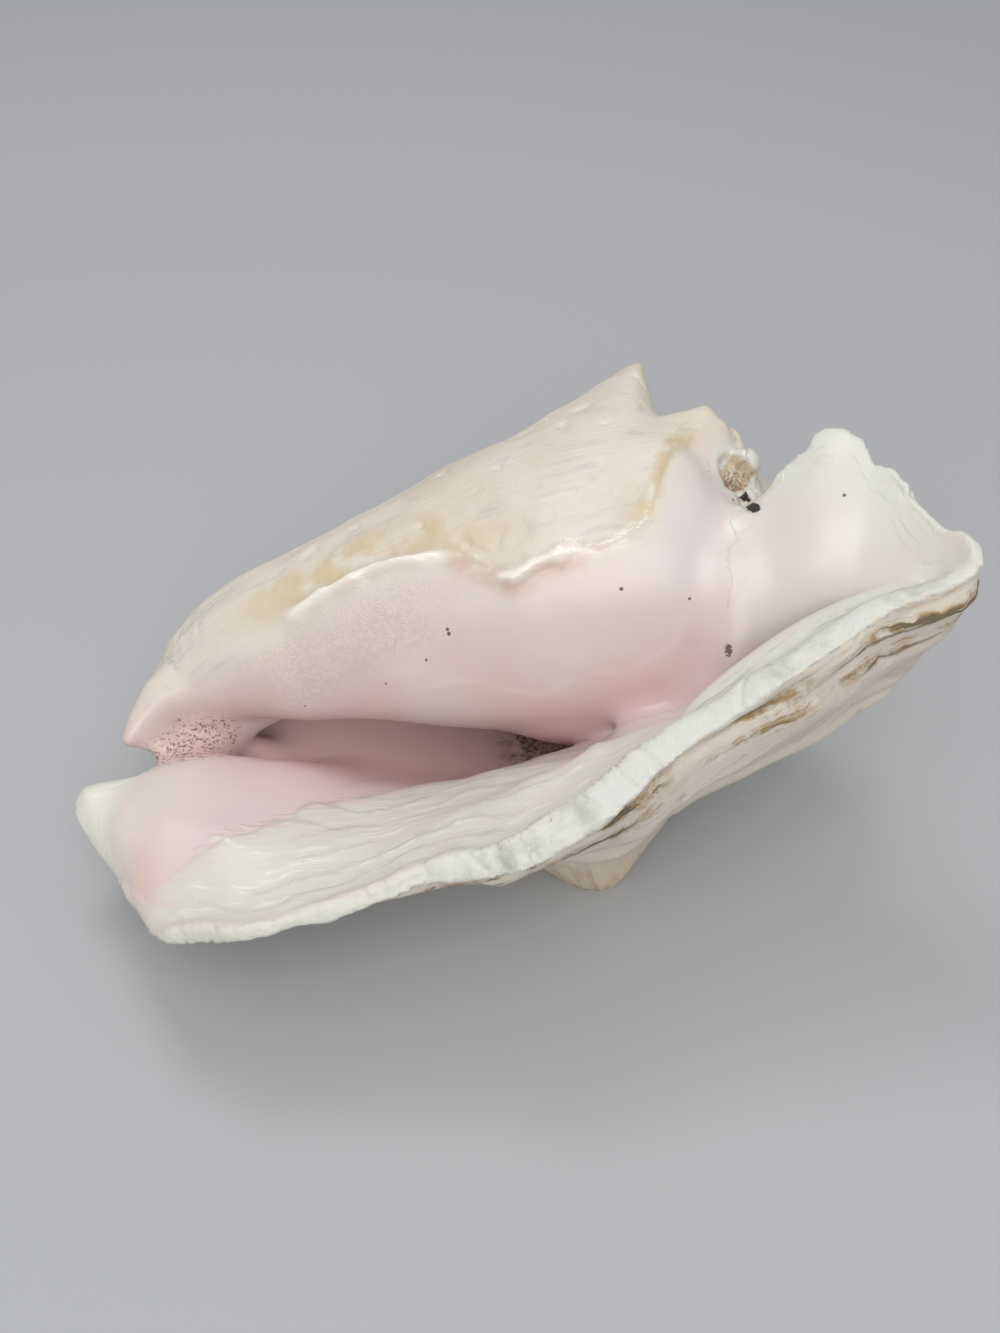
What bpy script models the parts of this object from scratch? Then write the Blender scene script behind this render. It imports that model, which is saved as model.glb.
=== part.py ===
"""A mature queen conch shell, worn by the sea, lying on its back with the aperture up.

The shell grew as one piece, so it is one solid. It is worked out in its own frame, in millimetres:
X towards the outer lip, Y towards the apex and Z towards the aperture's side. Points are given as a
radius and an azimuth about the coiling axis and a height along it. One turn of growth is 360 degrees
of azimuth, the whorls grow by a constant factor a turn, and growth 0 is where the lip ends.
"""

import math

import bmesh
import bpy
import numpy as np
from mathutils import Matrix

MM = 0.001
NODE_NAME = "conch_shell"

# How the shell lies: the coiling axis rises towards the apex, and the aperture leans towards the lip.
# The apex stands where it puts the origin under the middle of the shell.
AXIS_RISE = 12.0
LEAN = 12.9
APEX_PLACE = (96.05, 13.8, 71.0)

# Growth
EXPANSION = 1.6
ANTERIOR_LAG = 0.58
ANTERIOR_TAPER = 0.4
LATE_GROWTH = -215.0
CORE_FROM, CORE_TO = -1440.0, -400.0
SHEET_FROM, FLARE_FROM = -430.0, -110.0
MIDDLE_AT = 0.6
EARLY_PINCH, EARLY_END_PINCH = 0.22, 0.30
NODULE_STEP = 45.0
NODULE = 0.17
SPINE_SHARPNESS = 1.5

# Walls
WALL = 5.0
LIP_WALL = 8.5
WING_WALL = 5.0
EDGE_WALL = 3.5
RIM_WALL = 7.5

# The mesh
GROWTH_STEP = 3.0
FLARE_ROWS = 80
SECTION_COLUMNS = 160
VOXEL = 2.0
SMOOTHING_PASSES = 2
TRIANGLES = 9000

# A whorl's outer face: share from suture to anterior end, radius, height
PROFILE = (
    (0.00, 33.5, -45.0), (0.12, 45.0, -52.0), (0.25, 54.5, -62.0), (0.32, 58.3, -75.5),
    (0.38, 60.0, -87.5), (0.44, 60.0, -99.0), (0.53, 56.0, -122.0), (0.60, 51.5, -135.0),
    (0.68, 46.0, -151.0), (0.74, 42.0, -161.5), (0.80, 39.0, -172.0), (0.86, 37.0, -184.0),
    (0.91, 33.0, -195.0), (0.95, 28.0, -203.0), (0.98, 17.0, -211.0), (1.00, 3.0, -215.0),
)

# Where the last whorl turns into the flared lip: share, radius, azimuth, height
MIDDLE = (
    (0.000, 32.0, -10.0, -43.0), (0.030, 33.0, -5.0, -36.0), (0.060, 34.5, 0.0, -28.0),
    (0.090, 36.5, 3.0, -21.0), (0.120, 40.0, 3.0, -16.0), (0.150, 44.0, 0.0, -13.0),
    (0.180, 45.0, -6.0, -20.0), (0.220, 47.5, -18.0, -35.0), (0.270, 51.0, -26.0, -54.0),
    (0.340, 55.5, -24.0, -75.0), (0.400, 55.0, -18.0, -94.0), (0.500, 50.0, -15.0, -116.0),
    (0.600, 44.0, -12.0, -138.0), (0.700, 38.0, -10.0, -158.0), (0.755, 36.0, -8.0, -170.0),
    (0.800, 32.0, -6.0, -178.0), (0.840, 27.0, -2.0, -185.0), (0.885, 22.0, 0.0, -191.0),
    (0.920, 18.0, -10.0, -191.0), (0.960, 16.0, -45.0, -188.0), (1.000, 9.0, -95.0, -188.0),
)

# The lip's free edge, from the spire round the wing and the outer lip to the siphonal canal
MARGIN = (
    (0.000, 31.0, 79.0, -31.0), (0.030, 33.0, 85.0, -23.0), (0.060, 38.0, 90.0, -10.0),
    (0.090, 40.0, 74.0, 0.0), (0.120, 48.0, 56.0, 9.0), (0.150, 61.5, 43.5, 12.0),
    (0.180, 64.0, 39.5, -7.0), (0.220, 69.0, 34.0, -30.0), (0.270, 74.0, 27.0, -54.0),
    (0.340, 84.0, 21.0, -77.0), (0.400, 89.0, 18.0, -94.0), (0.500, 86.5, 17.0, -116.0),
    (0.600, 88.0, 15.0, -140.0), (0.700, 83.0, 16.0, -165.0), (0.755, 70.0, 17.0, -184.0),
    (0.800, 54.0, 18.0, -190.0), (0.840, 38.0, 32.0, -199.0), (0.880, 31.0, 53.0, -203.0),
    (0.915, 27.0, 58.0, -197.5), (0.945, 22.0, 44.0, -187.0), (0.970, 18.5, 24.0, -181.5),
    (0.985, 13.0, -25.0, -184.5), (1.000, 9.0, -90.0, -190.0),
)

# The columella, a pillar that ends in a short beak: x, y, z, radius
COLUMELLA = (
    (0.0, -60.0, 0.0, 15.0), (0.0, -120.0, 0.0, 13.0), (0.0, -145.0, 0.0, 12.0),
    (0.5, -160.0, 0.0, 9.5), (3.0, -172.0, 0.0, 8.0), (8.0, -182.0, 1.0, 6.0),
    (15.0, -190.0, 3.0, 1.8),
)

# Blunt spines on the shoulder: radius, azimuth and height of the foot and of the tip, then how far
# the swelling reaches from the foot, all round and towards the apex
SPINES = (
    ((42.0, 158.0, -55.0), (62.0, 163.0, -46.0), 28.0, 13.0),
    ((33.0, 131.0, -38.0), (39.5, 131.0, -34.0), 13.0, 10.0),
    ((44.0, -155.0, -62.0), (63.0, -153.0, -54.0), 25.0, 16.0),
    ((49.0, -98.0, -70.0), (65.0, -96.0, -66.0), 27.0, 20.0),
    ((57.0, -38.0, -84.0), (85.0, -38.5, -87.0), 32.0, 28.0),
    ((27.0, -92.0, -184.0), (37.0, -92.0, -182.0), 34.0, 34.0),
    ((27.0, 122.0, -32.0), (34.0, 122.0, -27.5), 13.0, 9.0),
)


def smooth_step(t):
    t = np.clip(t, 0.0, 1.0)
    return t * t * (3.0 - 2.0 * t)


def curve_through(rows, at):
    """Smooth curve through rows of a parameter and the values there."""
    table = np.asarray(rows, float)
    key, value = table[:, 0], table[:, 1:]
    slope = np.gradient(value, key, axis=0)
    i = np.clip(np.searchsorted(key, at, side="right") - 1, 0, len(key) - 2)
    span = (key[i + 1] - key[i])[..., None]
    t = (np.asarray(at, float) - key[i])[..., None] / span
    return cubic(t, value[i], slope[i] * span, value[i + 1], slope[i + 1] * span)


def cubic(t, start, start_slope, end, end_slope):
    near = 2.0 * t**3 - 3.0 * t**2 + 1.0
    return (
        near * start
        + (t**3 - 2.0 * t**2 + t) * start_slope
        + (1.0 - near) * end
        + (t**3 - t**2) * end_slope
    )


def whorl(growth_angle, share):
    """Radius and height of the regular whorl's outer face."""
    growth = EXPANSION ** (np.asarray(growth_angle) / 360.0)
    row = curve_through(PROFILE, share)
    lag = 1.0 - ANTERIOR_LAG * smooth_step(share)
    height = row[..., 1] * growth**lag
    late = row[..., 1] * (EXPANSION ** (LATE_GROWTH / 360.0)) ** lag
    held = smooth_step(share * 1.1) * (np.asarray(growth_angle) > LATE_GROWTH)
    taper = growth ** (ANTERIOR_TAPER * smooth_step(share))
    early = smooth_step((-np.asarray(growth_angle) - 245.0) / 100.0)
    pinch = EARLY_PINCH * smooth_step((share - 0.6) / 0.3)
    pinch = pinch + EARLY_END_PINCH * smooth_step((share - 0.84) / 0.12)
    radius = row[..., 0] * growth * taper * (1.0 - early * pinch)
    return radius * (1.0 + nodules(growth_angle, share)), height + (late - height) * held


def nodules(growth_angle, share):
    """Rounded knobs along the shoulder of the spire's whorls, as a share of the radius."""
    spire = smooth_step((-np.asarray(growth_angle) - 350.0) / 40.0)
    across = np.exp(-(((share - 0.24) / 0.07) ** 2))
    around = np.cos(np.pi * np.asarray(growth_angle) / NODULE_STEP) ** 4
    return NODULE * spire * across * around


def flare(along, share):
    """Radius, azimuth and height between the regular whorl (along 0) and the lip's edge (along 1)."""
    radius, height = whorl(FLARE_FROM, share)
    next_radius, next_height = whorl(FLARE_FROM + 1.0, share)
    start = np.stack([radius, np.full_like(radius, FLARE_FROM), height], -1)
    middle, end = curve_through(MIDDLE, share), curve_through(MARGIN, share)
    first, second = (middle - start) / MIDDLE_AT, (end - middle) / (1.0 - MIDDLE_AT)
    per_degree = np.stack([next_radius - radius, np.ones_like(radius), next_height - height], -1)
    start_slope = per_degree * first[..., 1:2]
    middle_slope = (1.0 - MIDDLE_AT) * first + MIDDLE_AT * second
    end_slope = (3.0 * second - middle_slope) / 2.0
    near, far = MIDDLE_AT, 1.0 - MIDDLE_AT
    t = np.asarray(along)[..., None]
    inner = cubic(np.clip(t / near, 0, 1), start, start_slope * near, middle, middle_slope * near)
    outer = cubic(np.clip((t - near) / far, 0, 1), middle, middle_slope * far, end, end_slope * far)
    place = np.where(t < near, inner, outer)
    return place[..., 0], place[..., 1], place[..., 2]


def axis_bend(height):
    """The anterior end curls away from the aperture's side."""
    past = np.clip((-np.asarray(height) - 140.0) / 50.0, 0.0, None)
    return np.stack([8.0 * past**2, 0.0 * past, -12.0 * past**2], -1)


def point(radius, azimuth, height):
    turn = np.radians(azimuth)
    height = np.asarray(height, float) + 0.0 * turn
    return np.stack([radius * np.cos(turn), height, radius * np.sin(turn)], -1) + axis_bend(height)


def grid_solid(name, grid, sheet=False):
    """A closed mesh from rows of points: the rows are loops, and the first and last are capped.

    The loops of a sheet run out along one face and back along the other, so its caps are narrow strips.
    """
    rows, columns = grid.shape[:2]
    mesh = bmesh.new()
    verts = [[mesh.verts.new(p) for p in row] for row in grid]
    for i in range(rows - 1):
        for j in range(columns):
            k = (j + 1) % columns
            mesh.faces.new((verts[i][j], verts[i][k], verts[i + 1][k], verts[i + 1][j]))
    for row in (verts[0], verts[-1]):
        if sheet:
            for j in range(columns // 2 - 1):
                mesh.faces.new((row[j], row[j + 1], row[-j - 2], row[-j - 1]))
        else:
            mesh.faces.new(row)
    bmesh.ops.triangulate(mesh, faces=mesh.faces[:])
    bmesh.ops.recalc_face_normals(mesh, faces=mesh.faces[:])
    data = bpy.data.meshes.new(name)
    mesh.to_mesh(data)
    mesh.free()
    built = bpy.data.objects.new(name, data)
    bpy.context.scene.collection.objects.link(built)
    return built


def whorl_core():
    """The filled older whorls: a section from the axis to the outer face, swept along its spiral."""
    turns = np.arange(CORE_FROM, CORE_TO + 1.0, GROWTH_STEP)[:, None]
    share = np.linspace(0.0, 1.0, SECTION_COLUMNS)[None, :]
    radius, height = whorl(turns + 0.0 * share, share + 0.0 * turns)
    radius = np.hstack([radius, -1.0 + 0.0 * turns, -1.0 + 0.0 * turns])
    height = np.hstack([height, height[:, -1:], height[:, :1]])
    return grid_solid("core", with_spines(point(radius, turns + 0.0 * radius, height)))


def outer_face():
    """Grid of the last whorl's outer face and lip: rows along growth, columns from suture to canal."""
    share = np.linspace(0.0, 1.0, SECTION_COLUMNS)[None, :]
    turns = np.arange(SHEET_FROM, FLARE_FROM, GROWTH_STEP)[:, None]
    radius, height = whorl(turns + 0.0 * share, share + 0.0 * turns)
    whorls = point(radius, turns + 0.0 * radius, height)
    along = np.linspace(0.0, 1.0, FLARE_ROWS)[:, None]
    lip = point(*flare(along + 0.0 * share, share + 0.0 * along))
    rows_along = np.concatenate([np.full(len(turns), 0.0), along[:, 0]])
    return np.vstack([whorls, lip]), rows_along[:, None] + 0.0 * share, share + 0.0 * rows_along[:, None]


def with_spines(grid):
    """Draws the outer face out into blunt, cone-like spines."""
    pull = np.zeros_like(grid)
    for foot, tip, reach, posterior_reach in SPINES:
        foot, tip = point(*foot), point(*tip)
        away = (grid - foot) / reach
        away[..., 1] *= np.where(away[..., 1] > 0.0, reach / posterior_reach, 1.0)
        near = np.clip(1.0 - np.linalg.norm(away, axis=-1), 0.0, 1.0)
        pull += (near**SPINE_SHARPNESS)[..., None] * (tip - foot)
    return grid + pull


def face_normals(grid):
    across, along = np.gradient(grid, axis=1), np.gradient(grid, axis=0)
    normal = np.cross(along, across)
    return normal / np.maximum(np.linalg.norm(normal, axis=-1, keepdims=True), 1e-9)


def wall_thickness(along, share):
    """Thin in the whorls and the wing, heavy in the outer lip, with a thick rim beside the wing."""
    heavy = smooth_step((share - 0.17) / 0.12) * smooth_step((0.86 - share) / 0.08)
    lip = WING_WALL + (LIP_WALL - WING_WALL) * heavy
    wall = WALL + (lip - WALL) * smooth_step((along - 0.3) / 0.4)
    rim = smooth_step((share - 0.13) / 0.07) * smooth_step((0.58 - share) / 0.2)
    edge = EDGE_WALL + (RIM_WALL - EDGE_WALL) * rim
    return wall + (edge - wall) * smooth_step((along - 0.8) / 0.2)


def last_whorl():
    outer, along, share = outer_face()
    normals = face_normals(outer)
    inner = outer - normals * wall_thickness(along, share)[..., None]
    loops = np.concatenate([with_spines(outer), inner[:, ::-1]], axis=1)
    return grid_solid("whorl", loops, sheet=True)


def tube(name, stations, sides=24):
    """A tube of round sections along stations of x, y, z and radius, with its ends capped."""
    stations = np.asarray(stations, float)
    ahead = np.gradient(stations[:, :3], axis=0)
    ahead /= np.linalg.norm(ahead, axis=1, keepdims=True)
    aside = np.cross(ahead, (0.31, 0.17, 0.94))
    aside /= np.linalg.norm(aside, axis=1, keepdims=True)
    other = np.cross(ahead, aside)
    turn = np.linspace(0.0, 2.0 * math.pi, sides, endpoint=False)
    ring = np.cos(turn)[None, :, None] * aside[:, None] + np.sin(turn)[None, :, None] * other[:, None]
    return grid_solid(name, stations[:, None, :3] + ring * stations[:, None, 3:])


def columella():
    keys = [(i, *row) for i, row in enumerate(COLUMELLA)]
    return tube("columella", curve_through(keys, np.linspace(0.0, len(COLUMELLA) - 1.0, 40)))


def lying_frame():
    """From the shell's own frame to the world: lip towards -Y, apex towards +X, aperture up."""
    own = Matrix(((0.0, 1.0, 0.0, 0.0), (-1.0, 0.0, 0.0, 0.0), (0.0, 0.0, 1.0, 0.0), (0.0, 0.0, 0.0, 1.0)))
    lean = Matrix.Rotation(math.radians(LEAN), 4, "X")
    rise = Matrix.Rotation(math.radians(-AXIS_RISE), 4, "Y")
    lift = Matrix.Translation([MM * distance for distance in APEX_PLACE])
    return lift @ Matrix.Scale(MM, 4) @ rise @ lean @ own


def clear_scene():
    for old in list(bpy.data.objects):
        bpy.data.objects.remove(old, do_unlink=True)


def joined(pieces, name):
    body = pieces[0]
    with bpy.context.temp_override(active_object=body, selected_editable_objects=pieces):
        bpy.ops.object.join()
    body.name = body.data.name = name
    return body


def applied(body, kind, **settings):
    modifier = body.modifiers.new(kind.title(), kind)
    for key, value in settings.items():
        setattr(modifier, key, value)
    with bpy.context.temp_override(object=body, active_object=body):
        bpy.ops.object.modifier_apply(modifier=modifier.name)


def fused(body):
    """One skin over the overlapping pieces, smoothed and thinned out to the wanted number of faces."""
    applied(body, "REMESH", mode="VOXEL", voxel_size=VOXEL)
    applied(body, "SMOOTH", factor=0.5, iterations=SMOOTHING_PASSES)
    body.data.calc_loop_triangles()
    ratio = TRIANGLES / len(body.data.loop_triangles)
    applied(body, "DECIMATE", ratio=min(1.0, ratio))


def worn_flat(body):
    """Cuts off what would reach below the surface that the shell lies on."""
    mesh = bmesh.new()
    mesh.from_mesh(body.data)
    cut = bmesh.ops.bisect_plane(
        mesh, geom=mesh.verts[:] + mesh.edges[:] + mesh.faces[:], dist=1e-7,
        plane_co=(0.0, 0.0, 0.0), plane_no=(0.0, 0.0, 1.0), clear_inner=True,
    )
    edges = [e for e in cut["geom_cut"] if isinstance(e, bmesh.types.BMEdge)]
    filled = bmesh.ops.holes_fill(mesh, edges=edges, sides=0)["faces"]
    bmesh.ops.triangulate(mesh, faces=filled)
    mesh.to_mesh(body.data)
    mesh.free()


def shell_material():
    material = bpy.data.materials.new("worn_shell")
    material.use_nodes = True
    surface = material.node_tree.nodes["Principled BSDF"]
    surface.inputs["Base Color"].default_value = (0.80, 0.66, 0.58, 1.0)
    surface.inputs["Roughness"].default_value = 0.45
    surface.inputs["Metallic"].default_value = 0.0
    return material


def main():
    clear_scene()
    pieces = [whorl_core(), last_whorl(), columella()]
    body = joined(pieces, NODE_NAME)
    fused(body)
    body.data.transform(lying_frame())
    worn_flat(body)
    body.data.materials.clear()
    body.data.materials.append(shell_material())
    body.data.shade_smooth()
    body.data.set_sharp_from_angle(angle=math.radians(60.0))


main()
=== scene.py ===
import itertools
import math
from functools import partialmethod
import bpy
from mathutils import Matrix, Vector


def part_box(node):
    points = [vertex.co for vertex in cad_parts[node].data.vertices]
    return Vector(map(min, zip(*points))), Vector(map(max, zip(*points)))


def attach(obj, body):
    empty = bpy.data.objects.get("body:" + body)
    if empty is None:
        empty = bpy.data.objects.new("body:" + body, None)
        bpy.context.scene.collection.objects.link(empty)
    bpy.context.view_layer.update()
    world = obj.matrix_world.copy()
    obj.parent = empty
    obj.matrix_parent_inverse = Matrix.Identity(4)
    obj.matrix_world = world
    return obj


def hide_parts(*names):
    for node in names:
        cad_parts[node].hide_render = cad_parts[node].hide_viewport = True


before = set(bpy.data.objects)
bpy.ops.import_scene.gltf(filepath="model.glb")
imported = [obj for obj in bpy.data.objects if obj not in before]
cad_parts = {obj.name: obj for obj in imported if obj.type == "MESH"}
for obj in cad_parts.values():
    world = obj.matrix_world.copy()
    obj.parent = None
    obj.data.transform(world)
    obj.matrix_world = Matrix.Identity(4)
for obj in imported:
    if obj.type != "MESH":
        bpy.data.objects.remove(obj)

# A mature queen conch shell, worn by the sea, lying on its back with the aperture up.
#
# The visible shell is one fine mesh, grown from the same few tables as the CAD solid and then carved
# with what wear and growth left on it. It is worked out in the shell's own frame, in millimetres:
# X towards the outer lip, Y towards the apex and Z towards the aperture's side. Growth is an angle,
# with one turn every 360 degrees and 0 where the lip ends.

from types import SimpleNamespace

import bmesh
import bpy
import numpy as np
from mathutils import Matrix, Vector
from mathutils.kdtree import KDTree

MM = 0.001
NODE = "conch_shell"

# How the shell lies
AXIS_RISE = 12
LEAN = 12.9
APEX_PLACE = (96.05, 13.8, 71)

# Growth
EXPANSION = 1.6
ANTERIOR_LAG = 0.58
ANTERIOR_TAPER = 0.4
LATE_GROWTH = -215
BEND_FROM, BEND_OVER = -140, 50
BEND_SIDE, BEND_DOWN = 8, -12
CORE_FROM, CORE_TO = -1440, -400
SHEET_FROM, FLARE_FROM = -430, -110
LIP_FROM = -60
SPIRE_TO, SPIRE_SHARE = -400, 0.27
MIDDLE_AT = 0.6
EARLY_PINCH, EARLY_END_PINCH = 0.22, 0.30
NODULE_STEP = 45
NODULE = 0.17
SPINE_SHARPNESS = 1.5
SPINE_BLUNTNESS = 0.11

# Walls
WALL = 5
LIP_WALL = 8.5
WING_WALL = 5
EDGE_WALL = 3
RIM_WALL = 7.5

# Where the lip is filled out inside, towards the callus behind the aperture, and where it swells to
# a rounded lobe before the canal: share, millimetres
THICKENING = (
    (0.14, 0), (0.2, 5), (0.26, 9), (0.32, 13.5), (0.38, 10), (0.44, 7), (0.5, 2.6), (0.55, 0.3),
    (0.62, 0.3), (0.65, 1.5), (0.68, 3.3), (0.71, 6), (0.74, 10), (0.77, 12.3), (0.83, 13.5), (0.9, 12),
    (0.95, 8), (0.985, 0),
)

# The mesh
GROWTH_STEP = 1.5
FLARE_ROWS = 150
SECTION_COLUMNS = 320
RIM_ROWS = 9
VOXEL = 0.8
TRIANGLES = 190000
CUT_NEARNESS = 1e-7

# Texture coordinates on the shell, in millimetres
RUN_SCALE = 2 * math.pi * 60 / math.log(EXPANSION)
FLARE_RUN = 150
ACROSS_LENGTH = 280

OUTER, INNER, RIM, PILLAR = range(4)

# How far the distances from the callus's and the layer's edge are told, and what is far from the
# lip's edge, in millimetres
REACH = 30
FAR_INSIDE = 250
LINE_REACH = 9

# A whorl's outer face: share from suture to anterior end, radius, height
PROFILE = (
    (0, 33.5, -45), (0.12, 45, -52), (0.25, 54.5, -62), (0.32, 58.3, -75.5), (0.38, 60, -87.5),
    (0.44, 60, -99), (0.53, 56, -122), (0.6, 51.5, -135), (0.68, 46, -151), (0.74, 42, -161.5),
    (0.8, 39, -172), (0.86, 37, -184), (0.91, 33, -195), (0.95, 28, -203), (0.98, 17, -211),
    (1, 3, -215),
)

# Where the last whorl turns into the flared lip: share, radius, azimuth, height
MIDDLE = (
    (0, 32, -10, -43), (0.03, 33, -5, -36), (0.06, 34.5, 0, -28), (0.09, 36.5, 3, -21),
    (0.12, 40, 3, -16), (0.15, 44, 0, -13), (0.18, 45, -6, -20), (0.22, 47.5, -18, -35),
    (0.27, 51, -26, -54), (0.34, 55.5, -24, -75), (0.4, 55, -18, -94), (0.5, 50, -15, -116),
    (0.6, 44, -12, -138), (0.7, 38, -10, -158), (0.755, 36, -8, -170), (0.8, 32, -6, -178),
    (0.84, 27, -2, -185), (0.885, 22, 0, -191), (0.92, 18, -10, -191), (0.96, 16, -45, -188),
    (1, 9, -95, -188),
)

# The lip's free edge, from the spire round the wing and the outer lip to the siphonal canal
MARGIN = (
    (0, 31, 79, -31), (0.03, 33, 85, -23), (0.06, 38, 90, -10), (0.09, 40, 74, 0), (0.12, 48, 56, 9),
    (0.15, 61.5, 43.5, 12), (0.18, 64, 39.5, -7), (0.22, 69, 34, -30), (0.27, 74, 27, -54),
    (0.34, 84, 21, -77), (0.4, 89, 18, -94), (0.5, 86.5, 17, -116), (0.6, 88, 15, -140),
    (0.7, 83, 16, -165), (0.755, 70, 17, -184), (0.8, 54, 18, -190), (0.84, 38, 32, -199),
    (0.88, 31, 53, -203), (0.915, 27, 58, -198.5), (0.945, 22, 44, -188.5), (0.97, 18.5, 24, -183.5),
    (0.985, 13, -25, -188), (1, 9, -90, -193),
)

# Small dark specks on the glaze: x, y, z, radius
SPECKS = (
    (19, -105, 24, 0.5), (18, -104, 24.5, 0.4), (20, -111, 20, 0.35), (21, -122, 12, 0.35),
    (22, -62, 31, 0.45), (26, -48, 26, 0.35), (15.5, -10.8, 38.8, 0.4), (2, -33, 28, 0.4),
    (13, -143, 4, 0.3),
)

# The columella, a pillar that ends in a short beak: x, y, z, radius
COLUMELLA = (
    (0, -60, 0, 15), (0, -120, 0, 13), (0, -145, 0.5, 12), (0, -160, 2, 10), (1, -170, 4, 8.3),
    (3.5, -178, 4.5, 6.8), (8, -184, 4, 4.7), (12, -187.8, 3.4, 3), (15, -190, 3, 1.6),
)

# The wall of the siphonal canal, between the beak and the lip: x, y, z, radius
CANAL_WALL = (
    (14.5, -188, 1.5, 1.8), (14, -186, 0, 2.4), (14, -183.5, -2, 2.7), (15, -181.5, -4.5, 3.6),
    (18, -178, -7, 4.6), (16.5, -174, -9.5, 5), (14, -170, -15, 4.5),
)

# What fills the corner behind the beak: x, y, z, radius
COLUMELLA_FOOT = ((9, -174, -7, 4.5), (7, -168, -9, 5), (5, -161, -11, 5), (2, -150, -14, 2))

# The floor of the canal: x, y, z, radius. Below it, where the floor runs out into the throat and where
# it is soiled: x, y, z
CANAL_FLOOR = (
    (10.5, -184, -7, 3.5), (10, -181.5, -3.5, 4), (9.5, -179, -6.5, 4.8), (9, -176, -9.5, 5.5),
    (8.5, -172.5, -13.5, 5.5), (8, -168, -20, 5.5), (7, -163, -27, 5.5), (6, -158, -34, 5),
)
CANAL_END = ((12, -170, -9), (8, -166, -15), (6, -160, -23), (4, -155, -27))
CANAL_SOIL = ((16, -180.5, -4), (20, -178, 0), (19, -173, -2), (13, -170, -5), (9, -176, -4))

# The lobe at the front of the lip is a smooth mound: x, y, z, radius
LOBE_MOUND = (
    (32, -186.5, 3.5, 5), (40, -186.5, 7, 6), (49, -184.5, 8.5, 6), (57, -182, 9.5, 6),
    (64, -179.5, 9.5, 5),
)

# Behind the thick rim the lip is filled out towards the callus: x, y, z, radius
BEHIND_RIM = (
    (58, -58, 22, 3), (52, -46, 23, 5.5), (44.7, -23, 26, 7), (41, -2, 28, 6), (39, 8, 29, 3),
)

# Where the lobe runs into the throat, and where the beak runs into the columella: x, y, z
LOBE_FOLD = (
    (20, -176, 1), (29, -175, 9), (37, -175.5, 13), (45, -177, 16.5), (50, -178, 17.5),
    (58, -180.5, 15.5), (65, -183, 12.5),
)
BEAK_JOIN = ((0, -166, 12), (3, -175, 11), (7, -182, 8))

# Blunt spines on the shoulder: radius, azimuth and height of the foot and of the tip, then how far
# the swelling reaches from the foot, all round and towards the apex
SPINES = (
    ((42, 158, -55), (59.5, 163, -45), 28, 11),
    ((33, 131, -38), (39.5, 131, -34), 13, 10),
    ((44, -155, -62), (63, -153, -54), 25, 16),
    ((49, -98, -70), (65, -96, -66), 27, 20),
    ((57, -40, -84), (84, -42, -86), 33, 29),
    ((27, -92, -184), (37, -92, -182), 34, 34),
    ((27, 122, -32), (34, 122, -27.5), 13, 9),
)
KNOB_TIP = (79, -42, -86)

# Where the callus, the glaze over the body whorl beside the aperture, ends: height, azimuth
CALLUS_EDGE = (
    (-205, 108), (-185, 100), (-172, 92), (-160, 86), (-150, 83), (-142, 84), (-136, 85.5), (-129, 88),
    (-120, 90), (-112, 88), (-104, 86), (-97, 79), (-91, 71), (-86, 68.5), (-80, 70), (-72, 71.5),
    (-67, 70), (-61, 71.5), (-56, 74), (-53, 78), (-50, 87), (-45, 103), (-38, 115), (-30, 122),
)

# How high its rolled rim stands: height along the axis, millimetres
CALLUS_RIM = (
    (-144, 0), (-138, 1.8), (-130, 2.9), (-118, 2.6), (-108, 1.9), (-102, 0.8), (-97, 0.1), (-91, 0.3),
    (-87, 1.6), (-74, 1.5), (-69, 0.5), (-65, 0.4), (-60, 0.2), (-55, 0), (-46, 0),
)

# How wide the chalky inner layer of the lip is: height along the axis, millimetres from the edge
LAYER_WIDTH = (
    (-205, 0), (-192, 1), (-186, 6), (-181, 10), (-172, 17), (-162, 28), (-147, 40), (-134, 46),
    (-118, 58), (-100, 66), (-80, 64), (-60, 50), (-42, 30), (-30, 12), (0, 5), (15, 0),
)

# The valley where the wing runs into the callus: x, y, z
VALLEY = (
    (5, -32, 27.5), (10, -34, 28), (19, -37, 28), (27, -38.5, 22), (33, -40, 16), (36, -43, 8),
    (37, -52, 2), (38.5, -59, -1.5), (39.5, -65, -0.5), (38.5, -70, -4.5),
)
VALLEY_FILL = 4

# The back corner of the aperture, below the valley: x, y, z
BACK_CORNER = ((42, -66, 3), (37, -72, -4), (33, -77, -11))

# The broken tip of the spire: x, y, z, radius
SHARD = (
    (-6, -36, 20, 4), (-8.5, -32, 22.5, 5), (-10, -28.5, 24.5, 4.6), (-11, -26, 26, 3.6),
    (-11.5, -24.5, 27, 1.6),
)
HOLLOW = (-7.5, -30.5, 26)
HOLLOW_DEPTH, SLOT_DEPTH = 3.6, 3
HOLLOW_WAY = np.array((-0.35, -0.45, -0.82))

# The gap below it, carved in and painted near black as the shade inside it, and a thin crack in the glaze
# around it: x, y, z
SLOT = (
    (-3.5, -32.5, 27), (-2.2, -31.2, 26.3), (-2, -30.3, 24.8), (-1, -29.8, 23.8), (6, -30.2, 30.5),
    (7.1, -30.2, 31.3), (8.8, -29.8, 32), (10, -28.7, 32.3),
)
CRACK = (
    (-10.5, -35, 30.5), (-8, -36.8, 31.2), (-3.5, -37.2, 31.8), (0.5, -36, 30.8), (3, -34, 29.5),
    (8.5, -31.5, 32.5),
)

# The pink patch beside the lobe and the stain beside the wing: place, how far it spreads each way
SALMON_PLACE, SALMON_SPREAD = (59, -181, 12), (1.5, 0.8, 1)
STAIN_PLACE, STAIN_SPREAD = (34.9, -42.4, 16.3), (1.2, 1, 2.8)

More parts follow.
